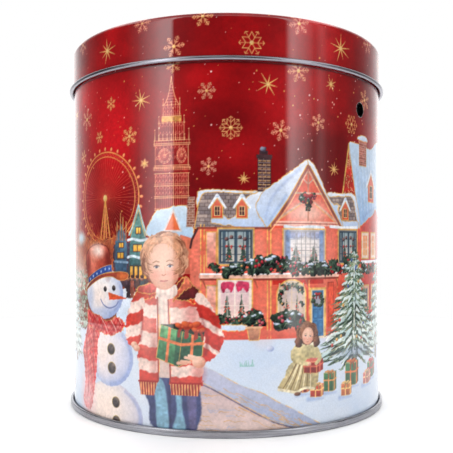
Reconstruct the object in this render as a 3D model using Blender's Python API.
"""Round tinplate storage tin with a slip-over lid.

Three pressed pieces of sheet: the lid, the rolled wall and the base, which is
double-seamed to the wall.  Every piece is one path of sheet metal, drawn in the
(radius, height) plane, given the sheet's thickness and turned about +Z.
Metres, +Z up, the tin stands on z = 0 with its axis on the Z axis.
"""
import math

import bmesh
import bpy
from mathutils import Matrix, Vector

MM = 0.001

# Driving dimensions
SHEET = 0.25 * MM               # thickness of the tinplate
GAP = 0.30 * MM                 # clearance where two pieces meet
WALL_RADIUS = 77.0 * MM         # outside of the wall
TIN_HEIGHT = 172.0 * MM         # rest plane to the top of the lid
LID_DEPTH = 20.0 * MM           # top of the lid to the bottom of its bead
LID_BEAD = 1.90 * MM            # outside diameter of the lid's curled edge
WALL_CURL = 1.85 * MM           # outside diameter of the wall's curled mouth
SEAM_HEIGHT = 3.1 * MM          # height of the double seam round the base
CORD_HOLE = 6.5 * MM            # diameter of the two holes for a cord handle
CORD_HOLE_HEIGHT = 138.0 * MM   # height of their centres

# Details
SHOULDER_RADIUS = 2.6 * MM      # outside radius of the lid's top corner
LID_RIM_WIDTH = 6.0 * MM        # flat rim round the lid's sunk panel, shoulder included
LID_PANEL_DEPTH = 0.8 * MM      # how far the lid's panel is sunk
LAP_WIDTH = 4.0 * MM            # width of the welded lap down the wall
LAP_END = 6.0 * MM              # the lap stops this far from the mouth and the base
BASE_PANEL_HEIGHT = 2.6 * MM    # height of the middle of the base, over the rest plane
BASE_RING_RADIUS = 60.0 * MM    # middle of the stiffening ring pressed in the base
BASE_RING_WIDTH = 5.0 * MM
BASE_RING_RISE = 0.7 * MM
COUNTERSINK_HEIGHT = 4.4 * MM   # top of the groove between the base's panel and its wall
COUNTERSINK_RADIUS = 0.9 * MM

SEGMENTS = 48                   # facets round the tin
TURN_STEP = math.radians(38)    # largest turn between two points of a bend

# Middle of the sheet in each layer, counted outwards from the axis
PITCH = SHEET + GAP
WALL_MIDDLE = WALL_RADIUS - SHEET / 2
BASE_WALL_MIDDLE = WALL_MIDDLE - PITCH
BASE_HOOK_MIDDLE = WALL_MIDDLE + PITCH
WALL_HOOK_MIDDLE = WALL_MIDDLE + 2 * PITCH
SEAM_MIDDLE = WALL_MIDDLE + 3 * PITCH
SKIRT_MIDDLE = WALL_MIDDLE + PITCH


def bend(centre, radius, start, end):
    """Points of an arc about centre, from the angle start to the angle end, in degrees."""
    steps = max(1, math.ceil(abs(math.radians(end - start)) / TURN_STEP))
    points = []
    for step in range(steps + 1):
        angle = math.radians(start + (end - start) * step / steps)
        offset = Vector((math.cos(angle), math.sin(angle))) * radius
        points.append(Vector(centre) + offset)
    return points


def sheet_outline(path):
    """Closed outline of a sheet that follows the path, half its thickness on each side."""
    left_side = []
    right_side = []
    for index, point in enumerate(path):
        before = path[max(index - 1, 0)]
        after = path[min(index + 1, len(path) - 1)]
        directions = [(point - before).normalized() if index > 0 else None,
                      (after - point).normalized() if index < len(path) - 1 else None]
        directions = [direction for direction in directions if direction is not None]
        normals = [Vector((-direction.y, direction.x)) for direction in directions]
        normal = sum(normals, Vector((0, 0))).normalized()
        reach = SHEET / 2 / normal.dot(normals[0])
        left_side.append(point + normal * reach)
        right_side.append(point - normal * reach)
    return left_side + right_side[::-1]


def turned_piece(name, path, material):
    """The solid made by turning a sheet path about +Z."""
    outline = sheet_outline(path)
    mesh = bmesh.new()
    rings = []
    for point in outline:
        if abs(point.x) < SHEET / 100:
            rings.append([mesh.verts.new((0, 0, point.y))] * SEGMENTS)
            continue
        ring = []
        for segment in range(SEGMENTS):
            angle = 2 * math.pi * segment / SEGMENTS
            ring.append(mesh.verts.new((point.x * math.cos(angle), point.x * math.sin(angle), point.y)))
        rings.append(ring)
    for ring, next_ring in zip(rings, rings[1:] + rings[:1]):
        for segment in range(SEGMENTS):
            following = (segment + 1) % SEGMENTS
            corners = [ring[segment], ring[following], next_ring[following], next_ring[segment]]
            corners = list(dict.fromkeys(corners))
            if len(corners) > 2:
                mesh.faces.new(corners)
    bmesh.ops.recalc_face_normals(mesh, faces=mesh.faces)
    return finished_object(name, mesh, material)


def finished_object(name, mesh, material=None):
    """Put a bmesh in the scene as a smooth-shaded object."""
    data = bpy.data.meshes.new(name)
    mesh.to_mesh(data)
    mesh.free()
    data.shade_smooth()
    data.set_sharp_from_angle(angle=math.radians(40))
    if material:
        data.materials.append(material)
    piece = bpy.data.objects.new(name, data)
    bpy.context.scene.collection.objects.link(piece)
    return piece


def metal(name, colour, roughness, metallic):
    """A Principled material for one piece."""
    material = bpy.data.materials.new(name)
    material.use_nodes = True
    shader = material.node_tree.nodes["Principled BSDF"]
    shader.inputs["Base Color"].default_value = (*colour, 1)
    shader.inputs["Roughness"].default_value = roughness
    shader.inputs["Metallic"].default_value = metallic
    return material


def lid_path():
    """From the middle of the lid's sunk panel, over the rim and down the skirt, to its bead."""
    top = TIN_HEIGHT - SHEET / 2
    panel = top - LID_PANEL_DEPTH
    step_outside = SKIRT_MIDDLE - LID_RIM_WIDTH
    step_inside = step_outside - 2 * LID_PANEL_DEPTH
    corner = SHOULDER_RADIUS - SHEET / 2
    bead = (LID_BEAD - SHEET) / 2
    bead_height = TIN_HEIGHT - LID_DEPTH + LID_BEAD / 2
    path = [Vector((0, panel)), Vector((step_inside, panel)), Vector((step_outside, top))]
    path += bend((SKIRT_MIDDLE - corner, top - corner), corner, 90, 0)
    path += bend((SKIRT_MIDDLE + bead, bead_height), bead, 180, 470)
    return path


def wall_path():
    """From the curled mouth, down the wall and round into the hook that the base grips."""
    curl = (WALL_CURL - SHEET) / 2
    lid_corner_height = TIN_HEIGHT - SHOULDER_RADIUS
    hook = PITCH
    hook_centre_height = SHEET + GAP + SHEET / 2 + hook
    hook_top = SEAM_HEIGHT - SHEET / 2 - hook
    path = bend((WALL_MIDDLE - curl, lid_corner_height), curl, 290, 0)
    path += bend((WALL_MIDDLE + hook, hook_centre_height), hook, 180, 360)
    path.append(Vector((WALL_HOOK_MIDDLE, hook_top)))
    return path


def base_path():
    """From the middle of the base, through its countersink and round the double seam."""
    ring_inside = BASE_RING_RADIUS - BASE_RING_WIDTH / 2
    ring_outside = BASE_RING_RADIUS + BASE_RING_WIDTH / 2
    ring_top = BASE_PANEL_HEIGHT + BASE_RING_RISE
    groove_middle = BASE_WALL_MIDDLE - COUNTERSINK_RADIUS
    groove_foot = groove_middle - COUNTERSINK_RADIUS
    corner = PITCH
    path = [Vector((0, BASE_PANEL_HEIGHT)),
            Vector((ring_inside, BASE_PANEL_HEIGHT)),
            Vector((ring_inside + BASE_RING_RISE, ring_top)),
            Vector((ring_outside - BASE_RING_RISE, ring_top)),
            Vector((ring_outside, BASE_PANEL_HEIGHT)),
            Vector((groove_foot - COUNTERSINK_RADIUS, BASE_PANEL_HEIGHT))]
    path += bend((groove_middle, COUNTERSINK_HEIGHT - COUNTERSINK_RADIUS), COUNTERSINK_RADIUS, 180, 0)
    path += bend((BASE_WALL_MIDDLE + corner, SHEET / 2 + corner), corner, 180, 270)
    path += bend((SEAM_MIDDLE - corner, SHEET / 2 + corner), corner, 270, 360)
    path += bend((SEAM_MIDDLE - corner, SEAM_HEIGHT - SHEET / 2 - corner), corner, 0, 180)
    path.append(Vector((BASE_HOOK_MIDDLE, SHEET + GAP + SHEET / 2 + PITCH + SHEET / 2)))
    return path


def hidden_tool(name, mesh):
    """A shape that only serves a Boolean modifier."""
    tool = finished_object(name, mesh)
    tool.hide_render = True
    tool.display_type = "WIRE"
    return tool


def cord_hole_drill():
    """One long drill along X, which pierces both sides of the wall."""
    mesh = bmesh.new()
    turn_to_x = Matrix.Rotation(math.radians(90), 4, "Y")
    place = Matrix.Translation((0, 0, CORD_HOLE_HEIGHT)) @ turn_to_x
    bmesh.ops.create_cone(mesh, cap_ends=True, segments=24, radius1=CORD_HOLE / 2,
                          radius2=CORD_HOLE / 2, depth=3 * WALL_RADIUS, matrix=place)
    return hidden_tool("cord_hole_drill", mesh)


def lap_strip():
    """The second layer of sheet inside the wall where its two edges overlap, at the back."""
    half_angle = LAP_WIDTH / 2 / WALL_RADIUS
    inside = WALL_RADIUS - 2 * SHEET
    outside = WALL_RADIUS - SHEET * 0.6
    heights = (LAP_END, TIN_HEIGHT - LAP_END)
    mesh = bmesh.new()
    corners = {}
    for column, angle in enumerate((math.pi / 2 - half_angle, math.pi / 2, math.pi / 2 + half_angle)):
        for layer, radius in enumerate((inside, outside)):
            for level, height in enumerate(heights):
                place = (radius * math.cos(angle), radius * math.sin(angle), height)
                corners[column, layer, level] = mesh.verts.new(place)
    for column in (0, 1):
        for layer in (0, 1):
            mesh.faces.new([corners[column, layer, 0], corners[column + 1, layer, 0],
                            corners[column + 1, layer, 1], corners[column, layer, 1]])
        for level in (0, 1):
            mesh.faces.new([corners[column, 0, level], corners[column + 1, 0, level],
                            corners[column + 1, 1, level], corners[column, 1, level]])
    for column in (0, 2):
        mesh.faces.new([corners[column, 0, 0], corners[column, 1, 0],
                        corners[column, 1, 1], corners[column, 0, 1]])
    bmesh.ops.recalc_face_normals(mesh, faces=mesh.faces)
    return hidden_tool("lap_strip", mesh)


def add_boolean(piece, tool, operation):
    modifier = piece.modifiers.new(tool.name, "BOOLEAN")
    modifier.operation = operation
    modifier.solver = "EXACT"
    modifier.object = tool


def build():
    for old_object in list(bpy.data.objects):
        bpy.data.objects.remove(old_object, do_unlink=True)

    printed_red = metal("printed_red", (0.45, 0.02, 0.03), 0.25, 0.3)
    printed_lid = metal("printed_lid", (0.50, 0.02, 0.03), 0.25, 0.3)
    bare_tinplate = metal("bare_tinplate", (0.62, 0.63, 0.65), 0.35, 1.0)

    wall = turned_piece("wall", wall_path(), printed_red)
    add_boolean(wall, lap_strip(), "UNION")
    add_boolean(wall, cord_hole_drill(), "DIFFERENCE")
    base = turned_piece("base", base_path(), bare_tinplate)

    # The lid slides off along +Z, so its parent stands on that axis.
    lid_axis = bpy.data.objects.new("lid_axis", None)
    bpy.context.scene.collection.objects.link(lid_axis)
    lid = turned_piece("lid", lid_path(), printed_lid)
    lid.parent = lid_axis
    base.parent = wall


build()
